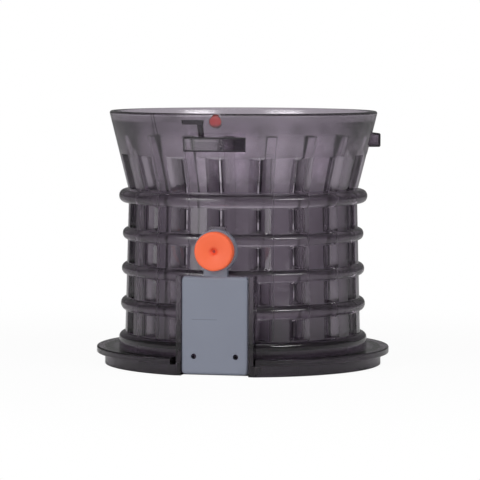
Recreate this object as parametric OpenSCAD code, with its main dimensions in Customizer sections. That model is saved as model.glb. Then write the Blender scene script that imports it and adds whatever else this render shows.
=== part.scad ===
// Juicer filter: a one-piece smoke-grey strainer with slotted wall, four rings,
// a base flange and a pulp outlet that a grey cover with an orange knob closes.
// Z is up, the base plane is z = 0, the axis is x = y = 0 and the outlet faces -Y.

/* [Funnel] */
// Height of the rim above the base plane
rim_z = 104; // [98:0.5:112]
// Outer diameter of the rim
rim_d = 110; // [106:0.5:114]
// Height of the straight band below the rim
rim_band = 1; // [1:0.5:3]
// Rounding of the rim's two edges
rim_round = 0.9; // [0.3:0.1:1]
// Wall of the plain upper part of the funnel
funnel_wall = 2.5; // [2.2:0.1:3.2]
// Height of the throat, where funnel and barrel meet
throat_z = 72.4; // [71:0.1:74]
// How far the funnel stands out over the barrel at the throat
throat_step = 0.4; // [0.2:0.1:1]

/* [Barrel] */
// Outer diameter at the top of the barrel
barrel_top_d = 94; // [91:0.2:95]
// Outer diameter at the foot of the barrel
barrel_foot_d = 97.1; // [95:0.1:98]
// Wall of the slotted part, from land to bore
slot_wall = 5.2; // [4.4:0.1:6]

/* [Rings] */
// Height of the middle of the top ring
top_ring_z = 69.1; // [68:0.1:70]
// Height of the middle of the second ring
second_ring_z = 53.6; // [52:0.1:55]
// Spacing of the second, third and fourth ring
ring_pitch = 14.4; // [13.8:0.05:14.6]
// Height of the top and of the lowest ring
tall_ring_h = 5.4; // [5:0.1:6.2]
// Height of the two rings between them
ring_h = 4.8; // [4.6:0.1:5.8]
// How far the top ring stands out of the barrel
top_ring_proud = 4; // [3:0.1:4.6]
// How far the other rings stand out of the barrel
ring_proud = 2.1; // [1.8:0.1:3]
// Flat left in the middle of a ring's round outer face
ring_flat = 0.3; // [0.2:0.1:2]

/* [Slots] */
// Number of slots round the wall
slot_count = 18; // [12:1:18]
// Width of a slot at its mouth
slot_mouth = 9.8; // [8:0.1:10.4]
// Distance from the slit to the knee of a slot's left wall
left_knee_x = 2; // [1.5:0.1:2.8]
// Depth of the knee of the left wall
left_knee_h = 3.2; // [2.4:0.1:3.4]
// Distance from the slit to the knee of a slot's right wall
right_knee_x = 2.3; // [1.5:0.1:3]
// Depth of the knee of the right wall
right_knee_h = 1.8; // [1.2:0.1:2.4]
// Width of the slit at the bottom of a slot
slit_w = 0.7; // [0.5:0.1:1.2]
// Wall that the slit alone goes through
slit_web = 0.5; // [0.4:0.1:0.9]
// Height at which the slots of the funnel end
slot_top_z = 86.5; // [83:0.1:88]
// Plain band under each ring
band_under = 0.2; // [0.2:0.1:1.5]
// Plain band over each ring
band_over = 0.2; // [0.2:0.1:1.5]
// Height over which the wall thickens above the slots
shoulder_h = 14; // [8:0.5:15]
// Fall of a slot's end faces for each mm of depth
ledge_slope = 0.24; // [0.1:0.02:0.4]

/* [Inner ribs] */
// Width of a rib on the inside
rib_w = 3.9; // [2:0.1:4.4]
// How far a rib stands into the bore
rib_proud = 1.4; // [0.8:0.1:2]
// Angle from a slit to the middle of its rib
rib_turn = 5.2; // [4.6:0.1:6]
// Height of the rib tops
rib_top_z = 95; // [92:0.5:96]

/* [Collar and flange] */
// How far the collar stands out over the foot of the barrel
collar_proud = 2.55; // [2:0.05:4]
// Height of the top of the collar
collar_top_z = 13.1; // [12.8:0.1:14.2]
// Rounding of the collar's shoulder
collar_round = 2.2; // [1:0.1:2.8]
// How far the base flange stands out over the skirt
flange_lip = 3.35; // [2:0.05:6]
// Height of the underside of the flange
flange_z = 4.6; // [4:0.1:5.5]
// Thickness of the flange
flange_t = 2.7; // [2.2:0.1:3]
// Outer diameter of the skirt under the flange
skirt_d = 113.8; // [112.5:0.1:115]
// Wall of the skirt
skirt_wall = 3; // [2.4:0.1:4]

/* [Floor and hub] */
// Height of the floor's upper face
floor_z = 12; // [10:0.5:13]
// Thickness of the floor
floor_t = 3; // [2.4:0.1:4]
// Outer diameter of the hub
hub_d = 32; // [28:0.5:40]
// Diameter of the bore for the drive shaft
bore_d = 24; // [16:0.5:25]
// Height of the top of the hub
hub_top_z = 20; // [15:0.5:26]

/* [Lugs and lid catches] */
// Number of lugs and of lid catches
lug_count = 3; // [2:1:3]
// How far the lugs stand out of the funnel
lug_proud = 4.7; // [3:0.1:5]
// Height of the underside of the lugs
lug_z = 89; // [88:0.1:90.5]
// Height of a lug
lug_h = 5.7; // [4:0.1:6]
// Angle that a lug covers
lug_angle = 25.6; // [18:0.2:30]
// Rounding of a lug's outer edges
lug_round = 0.7; // [0.3:0.1:1.2]
// Angle from a lug's middle to the lid catch inside
catch_turn = -11; // [-16:0.5:-9]
// Angle that a lid catch covers
catch_angle = 9.5; // [6:0.5:12]
// Height of a lid catch's upper bar
catch_z = 99.8; // [98:0.1:100.4]
// Thickness of a lid catch's bars
catch_t = 1.8; // [1.2:0.1:2.4]
// Height of a lid catch
catch_h = 7; // [5:0.5:8]

/* [Outlet housing] */
// How far the housing's front corners stand back from the skirt
front_inset = 0.3; // [0:0.05:0.5]
// Side wall of the housing
housing_wall = 2; // [1.6:0.1:2.6]
// Height of the top of the housing
housing_top_z = 39.6; // [38.5:0.1:40.5]
// Width of the outlet passage
passage_w = 19; // [15:0.5:21]
// Height of the passage's lower face
passage_z = 14; // [13:0.5:16]
// Height of the passage
passage_h = 19; // [15:0.5:20]
// Width of the notch in the flange beside the housing
notch_w = 1.6; // [1:0.1:2.5]
// Width of the post behind the cover's head
post_w = 6.4; // [5.8:0.1:8]
// Height of the top of that post
post_top_z = 59.2; // [58:0.1:60]
// How far the post stands out past the second ring
post_proud = 0.6; // [0.4:0.05:1.5]

/* [Outlet cover] */
// Width of the cover plate
cover_w = 27; // [24:0.5:30]
// Height of the cover's lower edge
cover_z = 0.6; // [0.4:0.1:2]
// Thickness of the cover plate
cover_t = 3.2; // [2.8:0.1:3.3]
// Rounding of the plate's corners
cover_corner = 1.2; // [0.6:0.1:2.5]
// Width of the neck
neck_w = 9.4; // [7:0.1:11]
// Thickness of the neck and the head
head_t = 3.2; // [2.4:0.1:3.2]
// Diameter of the head
head_d = 17; // [15:0.1:18]
// Height of the middle of the head
head_z = 49.7; // [49:0.1:50.4]
// Diameter of the two small holes in the plate
pip_d = 2.2; // [1.4:0.1:3]
// Spacing of the two small holes
pip_gap = 17; // [12:0.5:20]
// Height of the two small holes
pip_z = 7.8; // [5:0.1:10]
// Clearance round the cover and round the seal
fit_gap = 0.2; // [0.1:0.05:0.4]

/* [Outlet seal] */
// Thickness of the seal's pad
seal_t = 1.2; // [1:0.1:1.3]
// How far the seal's plug goes into the passage
plug_l = 2.4; // [1.5:0.1:3.4]
// How far the pad reaches past the passage on each side
seal_lip = 2; // [1.2:0.1:2.4]

/* [Knob] */
// Diameter of the knob
knob_d = 15.7; // [13:0.1:17]
// Thickness of the knob's disc
knob_t = 3.8; // [2.5:0.1:5]
// Rounding of the knob's front edge
knob_round = 0.9; // [0.4:0.1:1.4]
// Depth of the shallow cone in the knob's face
dish_h = 0.5; // [0.2:0.1:1]
// Diameter of the pit in the middle of the knob
pit_d = 1.4; // [0.8:0.1:2.5]
// Diameter of the knob's stem
stem_d = 4; // [3:0.1:4.8]
// How far the stem goes into the post
stem_l = 5; // [3:0.1:6]

/* [Index mark] */
// Diameter of the mark
mark_d = 5.2; // [3.5:0.1:5.4]
// Height of the middle of the mark
mark_z = 100.9; // [100:0.1:101.4]
// Wall left in front of the mark
mark_skin = 0.8; // [0.6:0.1:1.2]

/* [Hidden] */
$fn = 96;
eps = 0.01;
far = 20;
root = 2;
edge_round = 0.5;
slot_lead = 1.2;
catch_step = 0.4;

rim_r = rim_d / 2;
throat_r = barrel_top_d / 2 + throat_step;
foot_r = barrel_foot_d / 2;
funnel_top_z = rim_z - rim_band;
funnel_lean = atan((rim_r - throat_r) / (funnel_top_z - throat_z));
barrel_lean = atan((barrel_top_d / 2 - foot_r) / (throat_z - collar_top_z));
collar_r = foot_r + collar_proud;
skirt_r = skirt_d / 2;
flange_r = skirt_r + flange_lip;
flange_top_z = flange_z + flange_t;
shoulder_z = min(slot_top_z + shoulder_h, funnel_top_z - rim_band / 2);
foot_bore_r = foot_r - slot_wall;
throat_bore_r = throat_r - slot_wall;
slot_depth = slot_wall - slit_web;
slot_pitch = 360 / slot_count;
third_ring_z = second_ring_z - ring_pitch;
low_ring_z = third_ring_z - ring_pitch;
low_slot_z = collar_top_z + band_over;
cover_top_z = housing_top_z;
housing_w = cover_w + 2 * fit_gap + 2 * housing_wall;
notch_turn = asin((housing_w / 2 + notch_w) / flange_r);
front_y = sqrt(pow(skirt_r, 2) - pow(housing_w / 2, 2)) - front_inset;
cover_y = front_y - cover_t;
seat_y = cover_y - seal_t;
post_y = barrel_r(second_ring_z) + ring_proud + post_proud;
seal_z = passage_z - seal_lip;
seal_h = passage_h + 2 * seal_lip;
plug_w = passage_w - 2 * fit_gap;
plug_h = passage_h - 2 * fit_gap;
neck_root = 3;
root_y = min(cover_y, post_y);
root_z = cover_top_z - neck_root;
stem_gap = 0.05;
mark_in_r = funnel_in_r(mark_z);

function funnel_r(z) = throat_r + (z - throat_z) * tan(funnel_lean);
function barrel_r(z) = foot_r + (z - collar_top_z) * tan(barrel_lean);
function funnel_bore_r(z) = funnel_r(z) - slot_wall;
function funnel_in_r(z) = z > shoulder_z ? funnel_r(z) - funnel_wall
    : funnel_r(z) - slot_wall + (slot_wall - funnel_wall) * (z - slot_top_z) / (shoulder_z - slot_top_z);

// Rectangle from [r0, z0] to [r1, z1] with its two outer corners rounded
module rounded_band(r0, r1, z0, z1, round) {
    translate([r0, z0]) square([r1 - round - r0, z1 - z0]);
    translate([r0, z0 + round]) square([r1 - r0, z1 - z0 - 2 * round]);
    translate([r1 - round, z0 + round]) circle(round);
    translate([r1 - round, z1 - round]) circle(round);
}

module ring_section(z, h, proud) {
    rounded_band(barrel_r(z) - root, barrel_r(z) + proud, z - h / 2, z + h / 2, (h - ring_flat) / 2);
}

// Half section of the strainer wall, from the collar up to the rim
module wall_section() {
    polygon([
        [foot_r, flange_top_z],
        [foot_r, collar_top_z],
        [barrel_top_d / 2, throat_z],
        [throat_r, throat_z],
        [rim_r, funnel_top_z],
        [rim_r - funnel_wall, funnel_top_z],
        [funnel_r(shoulder_z) - funnel_wall, shoulder_z],
        [funnel_bore_r(slot_top_z), slot_top_z],
        [throat_bore_r, throat_z],
        [foot_bore_r, collar_top_z],
        [foot_bore_r, flange_top_z]
    ]);
    translate([rim_r - funnel_wall, funnel_top_z - eps])
        square([funnel_wall, rim_band + eps - rim_round]);
    translate([rim_r - funnel_wall + rim_round, funnel_top_z])
        square([funnel_wall - 2 * rim_round, rim_band]);
    for (r = [rim_r - funnel_wall + rim_round, rim_r - rim_round])
        translate([r, rim_z - rim_round]) circle(rim_round);
}

module base_section() {
    rounded_band(foot_bore_r, collar_r, flange_top_z - collar_round, collar_top_z, collar_round);
    rounded_band(foot_bore_r, flange_r, flange_z, flange_top_z, edge_round);
    translate([skirt_r - skirt_wall, 0]) square([skirt_wall, flange_z + flange_t / 2]);
    translate([hub_d / 2 - eps, floor_z - floor_t])
        square([foot_bore_r - hub_d / 2 + root, floor_t]);
    translate([bore_d / 2, 0]) square([(hub_d - bore_d) / 2, hub_top_z]);
}

// Cross-section of one slot: steep walls with a knee each and the slit between
// them. The land is at y = 0 and the axis of the part lies on +Y.
module slot_section() {
    half = slot_mouth / 2;
    left_x = half + slot_lead * (half - left_knee_x) / left_knee_h;
    right_x = half + slot_lead * (half - right_knee_x) / right_knee_h;
    polygon([
        [-left_x, -slot_lead],
        [-left_knee_x, left_knee_h],
        [-slit_w / 2, slot_depth],
        [-slit_w / 2, slot_wall + slot_lead],
        [slit_w / 2, slot_wall + slot_lead],
        [slit_w / 2, slot_depth],
        [right_knee_x, right_knee_h],
        [right_x, -slot_lead]
    ]);
}

// One slot cutter, laid along a wall that leans out by lean degrees
module slot_cutter(r, z, lean, length) {
    translate([0, -r, z])
        rotate([lean, 0, 0])
            translate([0, 0, -far / 2])
                linear_extrude(length + far) slot_section();
}

// Ring-shaped space in which the slots may cut. Its upper face falls inwards, and
// its lower face rises by foot_slope for each mm of depth
module slot_zone(z0, z1, r0, r1, foot_slope) {
    reach = slot_wall + root;
    lead = edge_round / 2;
    rotate_extrude()
        polygon([
            [r0 + lead, z0 - lead * foot_slope],
            [r1 + lead, z1 + lead * ledge_slope],
            [r1 - reach, z1 - reach * ledge_slope],
            [r0 - reach, z0 + reach * foot_slope]
        ]);
}

module barrel_zone(z0, z1) {
    slot_zone(z0, z1, barrel_r(z0), barrel_r(z1), ledge_slope);
}

module funnel_slots() {
    z0 = top_ring_z + tall_ring_h / 2 + band_over;
    intersection() {
        for (i = [0 : slot_count - 1])
            rotate(i * slot_pitch)
                slot_cutter(throat_r, throat_z, funnel_lean, slot_top_z - throat_z);
        slot_zone(z0, slot_top_z, funnel_r(z0), funnel_r(slot_top_z), 0);
    }
}

module barrel_slots() {
    intersection() {
        for (i = [0 : slot_count - 1])
            rotate(i * slot_pitch)
                slot_cutter(foot_r, collar_top_z, barrel_lean, throat_z - collar_top_z);
        union() {
            barrel_zone(second_ring_z + ring_h / 2 + band_over, top_ring_z - tall_ring_h / 2 - band_under);
            barrel_zone(third_ring_z + ring_h / 2 + band_over, second_ring_z - ring_h / 2 - band_under);
            barrel_zone(low_ring_z + tall_ring_h / 2 + band_over, third_ring_z - ring_h / 2 - band_under);
            barrel_zone(low_slot_z, low_ring_z - tall_ring_h / 2 - band_under);
        }
    }
}

// Rib on the inside beside one slit: upright in the barrel, leaning in the funnel
module inner_rib() {
    rotate(rib_turn)
        rotate([90, 0, 90])
            translate([0, 0, -rib_w / 2])
                linear_extrude(rib_w)
                    polygon([
                        [-foot_bore_r - root, floor_z - eps],
                        [rib_proud - foot_bore_r, floor_z - eps],
                        [rib_proud - throat_bore_r, throat_z],
                        [rib_proud - funnel_bore_r(rib_top_z), rib_top_z],
                        [funnel_wall / 2 - funnel_r(rib_top_z), rib_top_z],
                        [-funnel_bore_r(slot_top_z) - root, slot_top_z],
                        [-throat_bore_r - root, throat_z]
                    ]);
}

module strainer_bore() {
    rotate_extrude()
        polygon([
            [0, floor_z],
            [foot_bore_r, floor_z],
            [foot_bore_r, collar_top_z],
            [throat_bore_r, throat_z],
            [funnel_bore_r(slot_top_z), slot_top_z],
            [0, slot_top_z]
        ]);
}

module lug() {
    rotate(-90 - lug_angle / 2)
        rotate_extrude(angle = lug_angle)
            rounded_band(funnel_r(lug_z) - funnel_wall / 2, funnel_r(lug_z + lug_h / 2) + lug_proud,
                         lug_z, lug_z + lug_h, lug_round);
}

// L-shaped catch for the lid on the inside of the funnel
module lid_catch() {
    leg_z = catch_z + catch_t - catch_h;
    leg_angle = asin(catch_t / funnel_r(leg_z));
    bar_z = catch_z + catch_t / 2;
    rotate(-90 + catch_turn - catch_angle / 2)
        rotate_extrude(angle = catch_angle)
            translate([funnel_in_r(catch_z) - catch_t, catch_z])
                square([catch_t + funnel_wall / 2, catch_t]);
    rotate(-90 + catch_turn + catch_angle / 2 - leg_angle - catch_step)
        rotate_extrude(angle = leg_angle)
            polygon([
                [funnel_in_r(leg_z) - catch_t, leg_z],
                [funnel_r(leg_z) - funnel_wall / 2, leg_z],
                [funnel_r(bar_z) - funnel_wall / 2, bar_z],
                [funnel_in_r(bar_z) - catch_t, bar_z]
            ]);
}

module housing_block() {
    difference() {
        union() {
            translate([-housing_w / 2, -front_y, 0])
                cube([housing_w, front_y - foot_bore_r + 2 * root, housing_top_z]);
            translate([-post_w / 2, -post_y, housing_top_z - root])
                cube([post_w, post_y - throat_bore_r, post_top_z - housing_top_z + root]);
        }
        strainer_bore();
    }
}

module filter_body() {
    color([0.36, 0.33, 0.37, 0.85])
        difference() {
            union() {
                difference() {
                    rotate_extrude() {
                        wall_section();
                        base_section();
                        ring_section(top_ring_z, tall_ring_h, top_ring_proud);
                        ring_section(second_ring_z, ring_h, ring_proud);
                        ring_section(third_ring_z, ring_h, ring_proud);
                        ring_section(low_ring_z, tall_ring_h, ring_proud);
                    }
                    funnel_slots();
                    barrel_slots();
                    rotate(-90 - notch_turn)
                        rotate_extrude(angle = 2 * notch_turn)
                            translate([collar_r + edge_round, flange_z])
                                square([2 * flange_r, far]);
                    translate([-housing_w / 2, -2 * flange_r, -eps])
                        cube([housing_w, 2 * flange_r - front_y, housing_top_z + eps]);
                }
                for (i = [0 : slot_count - 1]) rotate(i * slot_pitch) inner_rib();
                for (i = [0 : lug_count - 1]) rotate(i * 360 / lug_count) {
                    lug();
                    lid_catch();
                }
                housing_block();
            }
            translate([-cover_w / 2 - fit_gap, -2 * flange_r, -1])
                cube([cover_w + 2 * fit_gap, 2 * flange_r - seat_y, housing_top_z + 1 + fit_gap]);
            translate([-neck_w / 2 - fit_gap, -front_y, root_z - fit_gap])
                cube([neck_w + 2 * fit_gap, front_y - root_y + fit_gap, neck_root + 2 * fit_gap]);
            translate([-passage_w / 2, -front_y, passage_z])
                cube([passage_w, front_y - foot_bore_r + rib_proud + root, passage_h]);
            translate([0, -post_y - 1, head_z])
                rotate([-90, 0, 0]) cylinder(d = stem_d + 2 * stem_gap, h = stem_l + stem_gap + 1);
            translate([0, -mark_in_r - funnel_wall + mark_skin, mark_z])
                rotate([-90, 0, 0]) cylinder(d = mark_d, h = funnel_wall + root);
        }
}

module outlet_cover() {
    plate_h = cover_top_z - cover_z;
    color([0.5, 0.52, 0.57])
        difference() {
            union() {
                translate([-cover_w / 2, -front_y, cover_z]) {
                    translate([0, 0, cover_corner]) cube([cover_w, cover_t, plate_h - 2 * cover_corner]);
                    translate([cover_corner, 0, 0]) cube([cover_w - 2 * cover_corner, cover_t, plate_h]);
                    for (x = [cover_corner, cover_w - cover_corner], z = [cover_corner, plate_h - cover_corner])
                        translate([x, 0, z]) rotate([-90, 0, 0]) cylinder(r = cover_corner, h = cover_t);
                }
                translate([-neck_w / 2, -max(front_y, post_y + head_t), root_z])
                    cube([neck_w, max(front_y, post_y + head_t) - root_y, neck_root]);
                translate([-neck_w / 2, -post_y - head_t, root_z])
                    cube([neck_w, head_t, head_z - cover_top_z + neck_root]);
                translate([0, -post_y - head_t, head_z])
                    rotate([-90, 0, 0]) cylinder(d = head_d, h = head_t);
            }
            for (x = [-1, 1])
                translate([x * pip_gap / 2, -front_y - 1, pip_z])
                    rotate([-90, 0, 0]) cylinder(d = pip_d, h = cover_t + 2);
            translate([0, -post_y - head_t - 1, head_z])
                rotate([-90, 0, 0]) cylinder(d = stem_d + 2 * stem_gap, h = head_t + 2);
        }
}

module outlet_seal() {
    color([0.25, 0.25, 0.27]) {
        translate([-passage_w / 2 - seal_lip, -cover_y, seal_z])
            cube([passage_w + 2 * seal_lip, seal_t, seal_h]);
        translate([-plug_w / 2, -seat_y - eps, passage_z + fit_gap])
            cube([plug_w, plug_l + eps, plug_h]);
    }
}

module cover_knob() {
    back_y = -post_y - head_t;
    color([0.95, 0.42, 0.25])
        translate([0, back_y, head_z])
            rotate([90, 0, 0])
                difference() {
                    rotate_extrude() {
                        square([knob_d / 2 - knob_round, knob_t]);
                        square([knob_d / 2, knob_t - knob_round]);
                        translate([knob_d / 2 - knob_round, knob_t - knob_round]) circle(knob_round);
                        translate([0, -head_t - stem_l]) square([stem_d / 2, head_t + stem_l + eps]);
                    }
                    translate([0, 0, knob_t - dish_h])
                        cylinder(d1 = pit_d, d2 = knob_d - 2 * knob_round, h = dish_h + eps);
                    translate([0, 0, knob_t - 2 * dish_h]) cylinder(d = pit_d, h = 2 * dish_h + eps);
                }
}

module index_mark() {
    color([0.8, 0.2, 0.15])
        translate([0, -mark_in_r - funnel_wall + mark_skin, mark_z])
            rotate([-90, 0, 0]) cylinder(d = mark_d, h = funnel_wall - mark_skin);
}

filter_body();
outlet_cover();
outlet_seal();
cover_knob();
index_mark();
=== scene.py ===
import bmesh
import bpy
import math
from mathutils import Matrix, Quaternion, Vector


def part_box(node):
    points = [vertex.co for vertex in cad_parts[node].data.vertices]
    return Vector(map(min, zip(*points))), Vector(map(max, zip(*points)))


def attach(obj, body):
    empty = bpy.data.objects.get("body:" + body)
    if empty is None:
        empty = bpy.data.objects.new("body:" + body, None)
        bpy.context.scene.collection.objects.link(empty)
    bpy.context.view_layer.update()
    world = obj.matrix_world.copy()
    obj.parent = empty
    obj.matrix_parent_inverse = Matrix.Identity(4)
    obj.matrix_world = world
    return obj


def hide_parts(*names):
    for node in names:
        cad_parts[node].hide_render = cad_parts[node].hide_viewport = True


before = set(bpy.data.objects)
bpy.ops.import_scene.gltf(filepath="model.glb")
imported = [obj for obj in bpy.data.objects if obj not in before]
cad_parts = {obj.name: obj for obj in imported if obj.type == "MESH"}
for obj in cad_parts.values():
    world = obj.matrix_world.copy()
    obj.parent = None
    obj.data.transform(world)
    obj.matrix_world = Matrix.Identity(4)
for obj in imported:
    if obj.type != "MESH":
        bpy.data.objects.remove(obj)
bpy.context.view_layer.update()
bpy.ops.object.select_all(action="DESELECT")
print("frame loaded:", sorted(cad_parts))


class Wire:
    # one output socket, so that shader maths reads as plain maths
    def __init__(self, net, socket):
        self.net, self.socket = net, socket

    def calc(self, operation, *values):
        return self.net.add("ShaderNodeMath", {"operation": operation}, dict(enumerate(values)))

    def __add__(self, other):
        return self.calc("ADD", self, other)

    def __radd__(self, other):
        return self.calc("ADD", other, self)

    def __sub__(self, other):
        return self.calc("SUBTRACT", self, other)

    def __rsub__(self, other):
        return self.calc("SUBTRACT", other, self)

    def __mul__(self, other):
        return self.calc("MULTIPLY", self, other)

    def __rmul__(self, other):
        return self.calc("MULTIPLY", other, self)

    def __truediv__(self, other):
        return self.calc("DIVIDE", self, other)

    def __abs__(self):
        return self.calc("ABSOLUTE", self)

    def root(self):
        return self.calc("SQRT", self)

    def most(self, *others):
        # the largest of several
        largest = self
        for other in others:
            largest = self.calc("MAXIMUM", largest, other)
        return largest

    def rise(self, low, high, kind="LINEAR"):
        # 0 below low, 1 above high, straight between them
        return self.net.add("ShaderNodeMapRange", {"interpolation_type": kind, "clamp": True},
                            {"Value": self, "From Min": low, "From Max": high})

    def step(self, low, high):
        # the same, but eased at both ends
        return self.rise(low, high, "SMOOTHSTEP")

    def band(self, low, high, soft=0.0001):
        # 1 from low to high, and 0 further out than soft
        return self.step(low - soft, low) * (1 - self.step(high, high + soft))


class Net:
    # the nodes of a material or of the world, all made by one method
    def __init__(self, owner):
        owner.use_nodes = True
        self.owner, self.tree = owner, owner.node_tree
        self.tree.nodes.clear()

    def add(self, kind, settings=None, sockets=None, out=0):
        made = self.tree.nodes.new(kind)
        for name, value in (settings or {}).items():
            setattr(made, name, value)
        for name, value in (sockets or {}).items():
            if isinstance(value, Wire):
                self.tree.links.new(value.socket, made.inputs[name])
            else:
                made.inputs[name].default_value = value
        return Wire(self, made.outputs[out] if made.outputs else None)

    def place(self):
        # the object's own coordinates, in metres
        return self.add("ShaderNodeTexCoord", out="Object")

    def axes(self, place):
        split = self.add("ShaderNodeSeparateXYZ", sockets={0: place})
        return [Wire(self, output) for output in split.socket.node.outputs]

    def noise(self, place, size, detail):
        return self.add("ShaderNodeTexNoise", sockets={"Vector": place, "Scale": 1 / size, "Detail": detail})

    def blend(self, factor, first, second):
        # a mix of two colours: the node's sockets go by number, because their names repeat
        first, second = [side if isinstance(side, Wire) else (*side, 1) for side in (first, second)]
        return self.add("ShaderNodeMix", {"data_type": "RGBA"}, {0: factor, 6: first, 7: second}, out=2)

    def paint(self, colour, *layers):
        # each layer is a mask and a colour, and covers the ones before it
        for mask, cover in layers:
            colour = self.blend(mask, colour, cover)
        return colour

    def bump(self, height, strength, distance):
        return self.add("ShaderNodeBump", sockets={
            "Height": height, "Strength": strength, "Distance": distance})

    def surface(self, sockets, **others):
        # ends a material in one shader
        shader = self.add("ShaderNodeBsdfPrincipled", sockets=sockets)
        self.add("ShaderNodeOutputMaterial", sockets={"Surface": shader, **others})
        return self.owner


def srgb(*levels):
    # screen levels of 0 to 255 as the linear values that a shader takes, by the sRGB curve
    return tuple(v / 3294.6 if v <= 10.3 else ((v / 255 + 0.055) / 1.055) ** 2.4 for v in levels)


def distance(across, along):
    return (across * across + along * along).root()


# the filter body's turned shape, as the CAD has it, in metres
body = {
    "footZ": 0.0131, "throatZ": 0.0724, "slotTopZ": 0.0865, "shoulderZ": 0.1005, "funnelTopZ": 0.103,
    "footR": 0.04855, "barrelR": 0.047, "throatR": 0.0474, "funnelR": 0.055,
    "slotWall": 0.0052, "funnelWall": 0.0025, "ribProud": 0.0014, "throatStep": 0.0001,
}


def funnelR(z):
    # outer radius of the funnel at a height
    lean = (body["funnelR"] - body["throatR"]) / (body["funnelTopZ"] - body["throatZ"])
    return body["throatR"] + (z - body["throatZ"]) * lean


def outlines():
    # heights and radii along the outside, along the bore and along the faces of the inner ribs
    foot, throat, top = body["footZ"], body["throatZ"], body["funnelTopZ"]
    thick, thin, rib = body["slotWall"], body["funnelWall"], body["ribProud"]
    footBore, throatBore = body["footR"] - thick, body["throatR"] - thick
    wall = ((foot, body["footR"]), (throat, body["barrelR"]),
            (throat + body["throatStep"], body["throatR"]), (top, body["funnelR"]))
    bore = ((foot, footBore), (throat, throatBore),
            (body["slotTopZ"], funnelR(body["slotTopZ"]) - thick),
            (body["shoulderZ"], funnelR(body["shoulderZ"]) - thin), (top, body["funnelR"] - thin))
    ribs = ((foot, footBore - rib), (throat, throatBore - rib), (top, body["funnelR"] - thick - rib))
    return wall, bore, ribs


def radiusAt(z, outline):
    # radius of a turned outline at height z
    radius = outline[0][1]
    for (lowZ, lowR), (highZ, highR) in zip(outline, outline[1:]):
        radius = radius + (highR - lowR) * z.rise(lowZ, highZ)
    return radius


lugs = {
    "low": 0.089, "high": 0.0947, "slack": 0.0002,
    # the lugs' own colour, then a painted shade and a painted highlight
    "face": srgb(185, 178, 187), "paintedShade": srgb(45, 38, 48), "light": srgb(240, 235, 242),
    "line": 0.0008, "lineSoft": 0.0003, "outerR": (0.0559, 0.0561),
    "lightDrop": (0.0017, 0.0012), "lightSoft": 0.0002,
    "glint": (0.0007, 1.0), "glintShare": (0.54, 0.6),
    # cosine of the angle from the front, then cosine and sines of three times that angle
    "front": (0.6, 0.8), "middle": (0.794, 0.814), "darkSide": (0.0, 0.15), "glintSide": (-0.15, 0.25, 0.15),
}


def lugLook(net, place, z, reach, cosine, sine):
    # the dark outline of the lugs, painted as shade at their edges, and the colour inside it with its painted
    # shade and painted highlight, from the angle round the axis
    low, high = lugs["low"], lugs["high"]
    # three times the angle from the front is alike at each of the three lugs
    middle = (cosine * (4 * cosine * cosine - 3)).step(*lugs["middle"])
    side = sine * (3 - 4 * sine * sine)
    faceZ = z.band(low + lugs["line"], high - lugs["line"], lugs["lineSoft"])
    outline = (1 - faceZ).most(reach.step(*lugs["outerR"]) * (1 - middle))
    # painted shade: the front lug's right part is darker, with fine painted glints of light in it
    front = cosine.step(*lugs["front"])
    paintedShade = side.step(*lugs["darkSide"]) * front
    spots = net.noise(place, *lugs["glint"]).step(*lugs["glintShare"])
    paintedGlints = spots * side.band(*lugs["glintSide"]) * front
    # painted highlight: the rest has a light line below its top edge
    lineLow, lineHigh = [high - drop for drop in lugs["lightDrop"]]
    light = z.band(lineLow, lineHigh, lugs["lightSoft"]) * (1 - paintedShade)
    return outline, net.paint(lugs["face"], (paintedShade * (1 - paintedGlints), lugs["paintedShade"]), (light, lugs["light"]))


seam = {"turn": 30.0, "half": 0.00015, "ahead": (0.0, 0.01), "heights": (0.0955, 0.1035)}


def seamLine(x, y, z):
    # a fine upright moulding line up the rim, turned to the left of the front
    turn = math.radians(seam["turn"])
    across = math.cos(turn) * x - math.sin(turn) * y
    ahead = -math.sin(turn) * x - math.cos(turn) * y
    line = 1 - abs(across).step(seam["half"], 2 * seam["half"])
    return line * ahead.step(*seam["ahead"]) * z.band(*seam["heights"])


smoke = {
    # colours, in pairs where a cloud varies them
    "barrel": (srgb(196, 190, 198), srgb(190, 184, 192)),
    "slotted": (srgb(200, 194, 202), srgb(194, 188, 196)),
    "funnel": (srgb(215, 209, 217), srgb(209, 203, 211)),
    "rim": srgb(175, 168, 177), "ring": srgb(184, 177, 186), "base": srgb(152, 143, 155),
    "skirt": srgb(120, 111, 123), "catch": srgb(125, 117, 127), "line": srgb(20, 16, 22),
    "slotPaintedShade": srgb(90, 82, 92), "slotShade": 0.85,
    # heights between which one look goes over to the next
    "skirtTop": (0.0044, 0.0046), "baseTop": (0.0131, 0.0133), "ringsFrom": (0.0131, 0.0141),
    "slottedFrom": (0.071, 0.073), "slitTop": (0.0865, 0.0867), "funnelFrom": (0.085, 0.088),
    "rimFrom": (0.0915, 0.0985), "frostTop": (0.0955, 0.0965), "catchZ": (0.0954, 0.1019),
    # distances from the wall or the bore over which a part of the shape is told from the next
    "proud": (0.0002, 0.0012), "inside": (0.0002, 0.0006), "raised": (0.0003, 0.0006),
    "ribSide": (0.0002, 0.0005), "slotDepth": (0.0003, 0.004),
    "slitFrom": (0.0001, 0.0002), "slitTo": (0.0005, 0.0007),
    # clear plastic with a tint that deepens with its thickness
    "transmission": 1.0, "ior": 1.49, "absorb": (0.40, 0.32, 0.41), "density": 72.0,
    # roughness, with the frost of the inside from the barrel up to the rim
    "gloss": 0.06, "spread": 0.01, "frost": (0.3, 0.2, 0.17), "matt": 0.4, "ringMatt": 0.14,
    # size and detail of the patterns
    "cloud": (0.03, 3.0), "grain": (0.0006, 2.0), "wave": (0.008, 2.0),
    "lugGrain": 1.7, "bump": (0.15, 0.0004),
}


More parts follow.
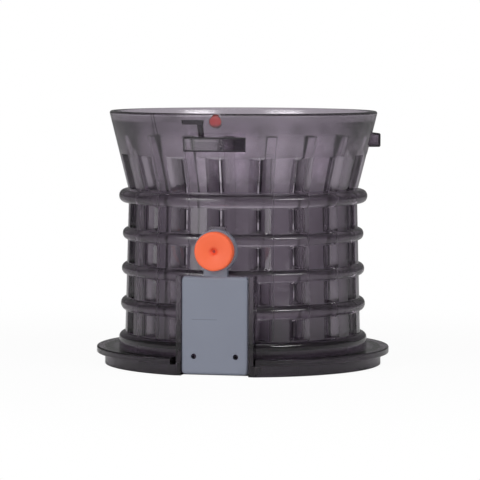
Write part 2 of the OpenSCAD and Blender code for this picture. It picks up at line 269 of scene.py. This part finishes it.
def makeSmoke():
    net = Net(bpy.data.materials.new("smokePlastic"))
    place = net.place()
    x, y, z = net.axes(place)
    cloud, grain, wave = [net.noise(place, *smoke[name]) for name in ("cloud", "grain", "wave")]
    reach = distance(x, y)
    wall, bore, ribs = [radiusAt(z, outline) for outline in outlines()]
    proud = (reach - wall).step(*smoke["proud"])
    inside = 1 - (reach - bore).step(*smoke["inside"])
    raised = (bore - reach).step(*smoke["raised"])
    catch = raised * z.band(*smoke["catchZ"])
    # the sides of the inner ribs lie between the bore and the ribs' own faces
    ribSide = raised * (reach - ribs).step(*smoke["ribSide"])
    # the slit in a slot's bottom, where the wall is thinnest
    slit = (reach - bore).step(*smoke["slitFrom"]) * (1 - (reach - bore).step(*smoke["slitTo"])) * (
        1 - z.step(*smoke["slitTop"]))
    # painted shade: the slots grow darker towards their bottoms, where shade falls in them
    depth = (wall - reach).rise(*smoke["slotDepth"]) * (1 - inside)
    lug = proud * z.band(lugs["low"] - lugs["slack"], lugs["high"] + lugs["slack"])
    lugOutline, lugColour = lugLook(net, place, z, reach, -1 * y / reach, x / reach)
    lugLine = lug * lugOutline
    flange = proud * (1 - z.step(*smoke["baseTop"]))
    colour = net.paint(
        net.blend(cloud, *smoke["barrel"]),
        (z.step(*smoke["slottedFrom"]), net.blend(cloud, *smoke["slotted"])),
        (z.step(*smoke["funnelFrom"]), net.blend(cloud, *smoke["funnel"])),
        # painted shade in the slots
        (smoke["slotShade"] * depth, smoke["slotPaintedShade"]),
        (z.step(*smoke["rimFrom"]), smoke["rim"]),
        (proud, smoke["ring"]),
        (flange, smoke["base"]),
        # painted shade: the skirt is darker, standing for the shadowed floor under the filter seen through it
        (flange * (1 - z.step(*smoke["skirtTop"])), smoke["skirt"]),
        (lug, lugColour),
        (catch, smoke["catch"]),
        # painted shade: the dark lines round the lugs, along the inner ribs' sides and in the slits; the seam
        # is a real moulding line
        (lugLine.most(ribSide, slit, seamLine(x, y, z)), smoke["line"]))
    frostLow, frostMiddle, frostTop = smoke["frost"]
    frost = frostLow + (frostMiddle - frostLow) * z.step(*smoke["slottedFrom"]) + (
        frostTop - frostMiddle) * z.step(*smoke["frostTop"])
    ringMatt = smoke["ringMatt"] * proud * (1 - lug) * z.step(*smoke["ringsFrom"])
    absorb = net.add("ShaderNodeVolumeAbsorption", sockets={
        "Color": (*smoke["absorb"], 1), "Density": smoke["density"]})
    return net.surface({
        "Base Color": colour,
        "Roughness": smoke["gloss"] + smoke["spread"] * grain + inside * frost + (
            lugLine.most(catch) * smoke["matt"]) + ringMatt,
        "Transmission Weight": smoke["transmission"],
        "IOR": smoke["ior"],
        "Normal": net.bump(wave + smoke["lugGrain"] * lug * grain, *smoke["bump"]),
    }, Volume=absorb)


def moulded(net, place, look, colour):
    # satin plastic with a fine grain
    grain = net.noise(place, *look["grain"])
    return net.surface({
        "Base Color": colour,
        "Roughness": look["matt"] + look["spread"] * grain,
        "Normal": net.bump(grain, *look["bump"]),
    })


grey = {
    "face": srgb(125, 130, 144), "shade": srgb(118, 122, 136), "cloud": (0.02, 3.0),
    "hair": srgb(105, 109, 124), "hairZ": (0.0224, 0.0226), "hairX": (-0.0092, 0.0009),
    "matt": 0.5, "spread": 0.1, "grain": (0.0005, 2.0), "bump": (0.1, 0.0001),
}


def makeGrey():
    net = Net(bpy.data.materials.new("greyPlastic"))
    place = net.place()
    x, _, z = net.axes(place)
    # a hairline mark across the middle of the cover
    hair = z.band(*grey["hairZ"]) * x.band(*grey["hairX"])
    face = net.blend(net.noise(place, *grey["cloud"]), grey["face"], grey["shade"])
    return moulded(net, place, grey, net.blend(hair, face, grey["hair"]))


def fromMiddle(net, place, node):
    # how far a point lies to the right of the middle of a CAD node, and above it
    x, _, z = net.axes(place)
    low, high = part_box(node)
    middle = (low + high) / 2
    return x - middle.x, z - middle.z


orange = {
    "face": srgb(244, 106, 63), "shade": srgb(238, 98, 55), "cloud": (0.008, 3.0),
    "halo": srgb(232, 76, 42), "haloEdge": (0.0007, 0.0026),
    "pit": srgb(150, 35, 20), "pitEdge": (0.00042, 0.0007),
    "matt": 0.45, "spread": 0.1, "grain": (0.0005, 2.0), "bump": (0.1, 0.0001),
}


def makeOrange():
    net = Net(bpy.data.materials.new("orangePlastic"))
    place = net.place()
    # the middle of the knob is darker, with a redder ring round it
    away = distance(*fromMiddle(net, place, "cover_knob"))
    return moulded(net, place, orange, net.paint(
        net.blend(net.noise(place, *orange["cloud"]), orange["face"], orange["shade"]),
        (1 - away.step(*orange["haloEdge"]), orange["halo"]),
        (1 - away.step(*orange["pitEdge"]), orange["pit"])))


red = {
    "face": srgb(235, 20, 6),
    "top": srgb(245, 90, 70), "paintedLightFrom": (0.0004, 0.0022),
    "foot": srgb(130, 4, 4), "paintedShadeFrom": (0.0006, 0.0022),
    "rim": srgb(90, 35, 25), "rimFrom": (0.0019, 0.0026),
    "matt": 0.3, "spread": 0.1, "grain": (0.0005, 3.0), "glow": 0.5,
}


def makeRed():
    net = Net(bpy.data.materials.new("redPlastic"))
    place = net.place()
    across, above = fromMiddle(net, place, "index_mark")
    # painted light and shade: the mark's top is lighter and its foot darker, as the light falls from above,
    # and its edge is painted dark as shade
    colour = net.paint(
        red["face"],
        (above.step(*red["paintedLightFrom"]), red["top"]),
        ((-1 * above).step(*red["paintedShadeFrom"]), red["foot"]),
        (distance(across, above).step(*red["rimFrom"]), red["rim"]))
    return net.surface({
        "Base Color": colour,
        "Roughness": red["matt"] + red["spread"] * net.noise(place, *red["grain"]),
        # painted light: the mark glows a little, though it is no lamp
        "Emission Color": colour,
        "Emission Strength": red["glow"],
    })


rubber = {
    "face": srgb(58, 58, 62), "shade": srgb(48, 48, 52), "cloud": (0.004, 3.0),
    "matt": 0.7, "spread": 0.1, "grain": (0.0008, 3.0),
}


def makeRubber():
    net = Net(bpy.data.materials.new("sealRubber"))
    place = net.place()
    return net.surface({
        "Base Color": net.blend(net.noise(place, *rubber["cloud"]), rubber["face"], rubber["shade"]),
        "Roughness": rubber["matt"] + rubber["spread"] * net.noise(place, *rubber["grain"]),
    })


def deselect():
    bpy.ops.object.select_all(action="DESELECT")


def take(piece):
    # makes one object the only one selected
    deselect()
    piece.select_set(True)
    bpy.context.view_layer.objects.active = piece


def dress(piece, material):
    piece.data.materials.clear()
    piece.data.materials.append(material)


def addBlock(low, high):
    deselect()
    bpy.ops.mesh.primitive_cube_add(size=1, location=[(a + b) / 2 for a, b in zip(low, high)])
    piece = bpy.context.object
    piece.scale = [b - a for a, b in zip(low, high)]
    bpy.ops.object.transform_apply(location=True, rotation=True, scale=True)
    return piece


def addDisc(radius, front, back, height, across=0.0, sides=96):
    # a cylinder that lies along y, from front to back
    deselect()
    bpy.ops.mesh.primitive_cylinder_add(
        vertices=sides, radius=radius, depth=back - front,
        location=(across, (front + back) / 2, height), rotation=(math.pi / 2, 0, 0))
    bpy.ops.object.transform_apply(location=True, rotation=True, scale=True)
    return bpy.context.object


def edit(piece):
    take(piece)
    bpy.ops.object.mode_set(mode="EDIT")


def leave():
    bpy.ops.object.mode_set(mode="OBJECT")


def pick(piece, kind, test):
    # selects the edges or faces that pass a test, in edit mode
    shape = bmesh.from_edit_mesh(piece.data)
    bpy.ops.mesh.select_mode(type=kind)
    bpy.ops.mesh.select_all(action="DESELECT")
    for part in (shape.edges if kind == "EDGE" else shape.faces):
        if test(part):
            part.select_set(True)
    shape.select_flush_mode()
    bmesh.update_edit_mesh(piece.data)


alongY = 0.9  # an edge or a normal with this share of its length along y counts as lying along it
samePlace = 1e-5  # metres


def runsBack(edge):
    run = edge.verts[1].co - edge.verts[0].co
    return abs(run.y) > alongY * run.length


def looksForward(face):
    return face.normal.y < -alongY


def looksBack(face):
    return face.normal.y > alongY


def roundFront(front):
    # a test for the edges round the front of a piece
    def test(edge):
        atFront = all(vert.co.y < front + samePlace for vert in edge.verts)
        return atFront and not all(looksForward(face) for face in edge.link_faces)
    return test


def join(piece, other, operation):
    # unites with the other solid, or cuts it away
    take(piece)
    step = piece.modifiers.new("join", "BOOLEAN")
    step.operation, step.object, step.solver = operation, other, "EXACT"
    bpy.ops.object.modifier_apply(modifier=step.name)
    bpy.data.objects.remove(other)


edges = {"roundFrom": 35, "smoothTo": 50}  # degrees between two faces


def soften(piece, width, steps):
    take(piece)
    step = piece.modifiers.new("soften", "BEVEL")
    step.width, step.segments, step.limit_method = width, steps, "ANGLE"
    step.angle_limit = math.radians(edges["roundFrom"])
    bpy.ops.object.modifier_apply(modifier=step.name)
    bpy.ops.object.shade_smooth_by_angle(angle=math.radians(edges["smoothTo"]))
    # the large flat faces set the shading, so that they stay plain up to their edges
    step = piece.modifiers.new("flatten", "WEIGHTED_NORMAL")
    step.keep_sharp = True
    bpy.ops.object.modifier_apply(modifier=step.name)


def register(piece, name, material, node):
    piece.name = name
    dress(piece, material)
    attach(piece, "root")
    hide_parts(node)
    print("piece ready:", name)


cover = {
    "thick": 0.0032, "plateTop": 0.0396, "corner": 0.0017, "edge": 0.0012, "steps": 6,
    "neck": 0.0094, "neckLow": 0.0366, "neckInset": 0.001, "head": 0.017,
    "pip": 0.0022, "pipSides": 32, "pipGap": 0.017, "pipHeight": 0.0078,
    "hole": 0.0041, "holeSides": 48,
    # where the holes' cutters start before the front, and how far they reach behind it
    "before": 0.002, "pipReach": 0.006, "holeReach": 0.008,
    "soft": 0.0004, "softSteps": 3,
}


def makeCover():
    # plate over the outlet, with a neck and a round head that the knob holds
    low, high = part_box("outlet_cover")
    front, back = low.y, high.y
    neckFront, headHeight = front + cover["neckInset"], high.z - cover["head"] / 2
    plate = addBlock(low, (high.x, front + cover["thick"], cover["plateTop"]))
    edit(plate)
    pick(plate, "EDGE", runsBack)
    bpy.ops.mesh.bevel(offset=cover["corner"], segments=cover["steps"])
    pick(plate, "EDGE", roundFront(front))
    bpy.ops.mesh.bevel(offset=cover["edge"], segments=cover["steps"])
    leave()
    side = cover["neck"] / 2
    foot = addBlock((-side, front + cover["edge"], cover["neckLow"]), (side, back, cover["plateTop"]))
    neck = addBlock((-side, neckFront, cover["neckLow"]), (side, back, headHeight))
    head = addDisc(cover["head"] / 2, neckFront, back, headHeight)
    for part in (foot, neck, head):
        join(plate, part, "UNION")
    # two small holes low on the plate, and the hole for the knob's stem
    for across in (-cover["pipGap"] / 2, cover["pipGap"] / 2):
        pip = addDisc(cover["pip"] / 2, front - cover["before"], front + cover["pipReach"],
                      cover["pipHeight"], across, cover["pipSides"])
        join(plate, pip, "DIFFERENCE")
    hole = addDisc(cover["hole"] / 2, front - cover["before"], front + cover["holeReach"],
                   headHeight, sides=cover["holeSides"])
    join(plate, hole, "DIFFERENCE")
    soften(plate, cover["soft"], cover["softSteps"])
    register(plate, "outletCover", makeGrey(), "outlet_cover")


knob = {
    "wide": 0.0155, "thick": 0.0038, "edge": 0.0008, "steps": 5,
    "rim": 0.0011, "dish": 0.0004, "stem": 0.004, "smoothTo": 35,
    "pitR": 0.00195, "pitSteps": ((0.000675, 0.00036), (0.000525, 0.00084)),  # inwards and down
}


def makeKnob():
    # dished disc with a pit in its middle and a stem behind it
    low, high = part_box("cover_knob")
    front, back, height = low.y, low.y + knob["thick"], (low.z + high.z) / 2
    piece = addDisc(knob["wide"] / 2, front, back, height)
    edit(piece)
    pick(piece, "FACE", looksForward)
    bpy.ops.mesh.inset(thickness=knob["rim"], depth=0)
    bpy.ops.mesh.inset(thickness=knob["wide"] / 2 - knob["rim"] - knob["pitR"], depth=-knob["dish"])
    for inwards, down in knob["pitSteps"]:
        bpy.ops.mesh.inset(thickness=inwards, depth=-down)
    pick(piece, "FACE", looksBack)
    bpy.ops.mesh.inset(thickness=(knob["wide"] - knob["stem"]) / 2, depth=0)
    bpy.ops.mesh.extrude_region_move(TRANSFORM_OT_translate={"value": (0, high.y - back, 0)})
    pick(piece, "EDGE", roundFront(front))
    bpy.ops.mesh.bevel(offset=knob["edge"], segments=knob["steps"])
    leave()
    bpy.ops.object.shade_smooth_by_angle(angle=math.radians(knob["smoothTo"]))
    register(piece, "coverKnob", makeOrange(), "cover_knob")


mark = {"sides": 48, "gap": 0.00004, "soft": 0.0004, "softSteps": 3}


def makeMark():
    # stands clear of its pocket by the gap, so that the wall's inside stays a surface of its own
    low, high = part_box("index_mark")
    centre, gap = (low + high) / 2, mark["gap"]
    piece = addDisc((high.x - low.x) / 2 - gap, low.y + gap, high.y - gap, centre.z, centre.x, mark["sides"])
    soften(piece, mark["soft"], mark["softSteps"])
    register(piece, "indexMark", makeRed(), "index_mark")


seal = {"pad": 0.0012, "lip": 0.0022, "corner": 0.001, "steps": 5, "soft": 0.0003, "softSteps": 3}


def makeSeal():
    # soft pad with a plug that reaches into the outlet passage, its corners rounded
    low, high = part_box("outlet_seal")
    lip = seal["lip"]
    pad = addBlock(low, (high.x, low.y + seal["pad"], high.z))
    plug = addBlock((low.x + lip, low.y + seal["pad"] / 2, low.z + lip), (high.x - lip, high.y, high.z - lip))
    for block in (pad, plug):
        edit(block)
        pick(block, "EDGE", runsBack)
        bpy.ops.mesh.bevel(offset=seal["corner"], segments=seal["steps"])
        leave()
    join(pad, plug, "UNION")
    soften(pad, seal["soft"], seal["softSteps"])
    register(pad, "outletSeal", makeRubber(), "outlet_seal")


dress(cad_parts["filter_body"], makeSmoke())
print("filter body dressed")
makeCover()
makeKnob()
makeMark()
makeSeal()

view = {
    "azimuth": 12.0, "distance": 1.24, "height": 0.1346, "aim": 0.0506, "left": 0.00129, "roll": 0.17,
    "lens": 225.9, "sensor": 36.0, "clip": (0.05, 30.0),
}


def placeCamera():
    # left moves the camera and its aim alike
    turn = math.radians(view["azimuth"])
    out = Vector((math.sin(turn), -math.cos(turn), 0))
    right = Vector((math.cos(turn), math.sin(turn), 0))
    lens = bpy.data.cameras.new("photoView")
    lens.sensor_width, lens.lens = view["sensor"], view["lens"]
    lens.clip_start, lens.clip_end = view["clip"]
    camera = bpy.data.objects.new("photoView", lens)
    bpy.context.scene.collection.objects.link(camera)
    camera.location = out * view["distance"] - right * view["left"] + Vector((0, 0, view["height"]))
    aim = Vector((0, 0, view["aim"])) - right * view["left"]
    level = (aim - camera.location).to_track_quat("-Z", "Y")
    camera.rotation_euler = (level @ Quaternion((0, 0, 1), math.radians(view["roll"]))).to_euler()
    bpy.context.scene.camera = camera


placeCamera()
print("camera placed")

studio = {
    "floorSize": 12.0, "floorColour": (0.9, 0.9, 0.9), "nearWhite": 0.95, "whiteFrom": (0.09, 0.3),
    "world": 0.15, "through": 0.85, "sides": 0.2, "turnOff": (0.3, 0.8),
    "lampsAim": (0, 0, 0.05), "lampsAway": 0.9,
}


def ray(net, kind):
    # 1 for one kind of ray, such as those that come straight from the camera
    return net.add("ShaderNodeLightPath", out=kind)


def seenWhite(net, share=1.0):
    # the backdrop is white to the camera and a little greyer through the plastic
    return ray(net, "Is Camera Ray").most(studio["through"] * share * ray(net, "Is Transmission Ray"))


def makeFloor():
    bpy.ops.mesh.primitive_plane_add(size=studio["floorSize"], location=(0, 0, 0))
    floor = bpy.context.object
    floor.name = "studioFloor"
    net = Net(bpy.data.materials.new("studioFloor"))
    x, y, _ = net.axes(net.place())
    paper = net.add("ShaderNodeBsdfDiffuse", sockets={"Color": (*studio["floorColour"], 1)})
    glow = net.add("ShaderNodeEmission", sockets={"Color": (1, 1, 1, 1), "Strength": 1.0})
    # near the object the camera still sees a little of the paper, with its shadow, and further off none
    near = studio["nearWhite"] * ray(net, "Is Camera Ray")
    white = near + (seenWhite(net) - near) * distance(x, y).step(*studio["whiteFrom"])
    net.add("ShaderNodeOutputMaterial", sockets={
        "Surface": net.add("ShaderNodeMixShader", sockets={0: white, 1: paper, 2: glow})})
    dress(floor, net.owner)


def makeWorld():
    world = bpy.data.worlds.new("studio")
    bpy.context.scene.world = world
    net = Net(world)
    # seen through the plastic, the studio is darker at the sides than straight ahead
    x, y, _ = net.axes(net.place())
    turn = math.radians(view["azimuth"])
    ahead = abs(math.cos(turn) * y - math.sin(turn) * x).step(*studio["turnOff"])
    seen = seenWhite(net, studio["sides"] + (1 - studio["sides"]) * ahead)
    strength = studio["world"] + (1 - studio["world"]) * seen
    net.add("ShaderNodeOutputWorld", sockets={"Surface": net.add(
        "ShaderNodeBackground", sockets={"Color": (1, 1, 1, 1), "Strength": strength})})


lamps = {
    "rightBox": {"turn": 56.0, "rise": 29.0, "size": (0.42, 0.11), "power": 2.9},
    "leftBox": {"turn": -30.0, "rise": 29.0, "size": (0.48, 0.11), "power": 2.7},
    "lowBox": {"turn": -24.0, "rise": 5.0, "size": (0.48, 0.45), "power": 1.65},
    "topBox": {"turn": 10.0, "rise": 80.0, "size": (0.7, 0.7), "power": 1.7},
}


def placeLamps():
    aim = Vector(studio["lampsAim"])
    for name, lamp in lamps.items():
        light = bpy.data.lights.new(name, "AREA")
        light.shape, light.size, light.size_y = "RECTANGLE", *lamp["size"]
        light.energy = lamp["power"]
        turn, rise = math.radians(lamp["turn"]), math.radians(lamp["rise"])
        holder = bpy.data.objects.new(name, light)
        bpy.context.scene.collection.objects.link(holder)
        holder.location = aim + studio["lampsAway"] * Vector((
            math.sin(turn) * math.cos(rise), -math.cos(turn) * math.cos(rise), math.sin(rise)))
        holder.rotation_euler = (aim - holder.location).to_track_quat("-Z", "Y").to_euler()


makeFloor()
makeWorld()
placeLamps()
bpy.context.scene.view_settings.view_transform = "Standard"
print("studio ready")
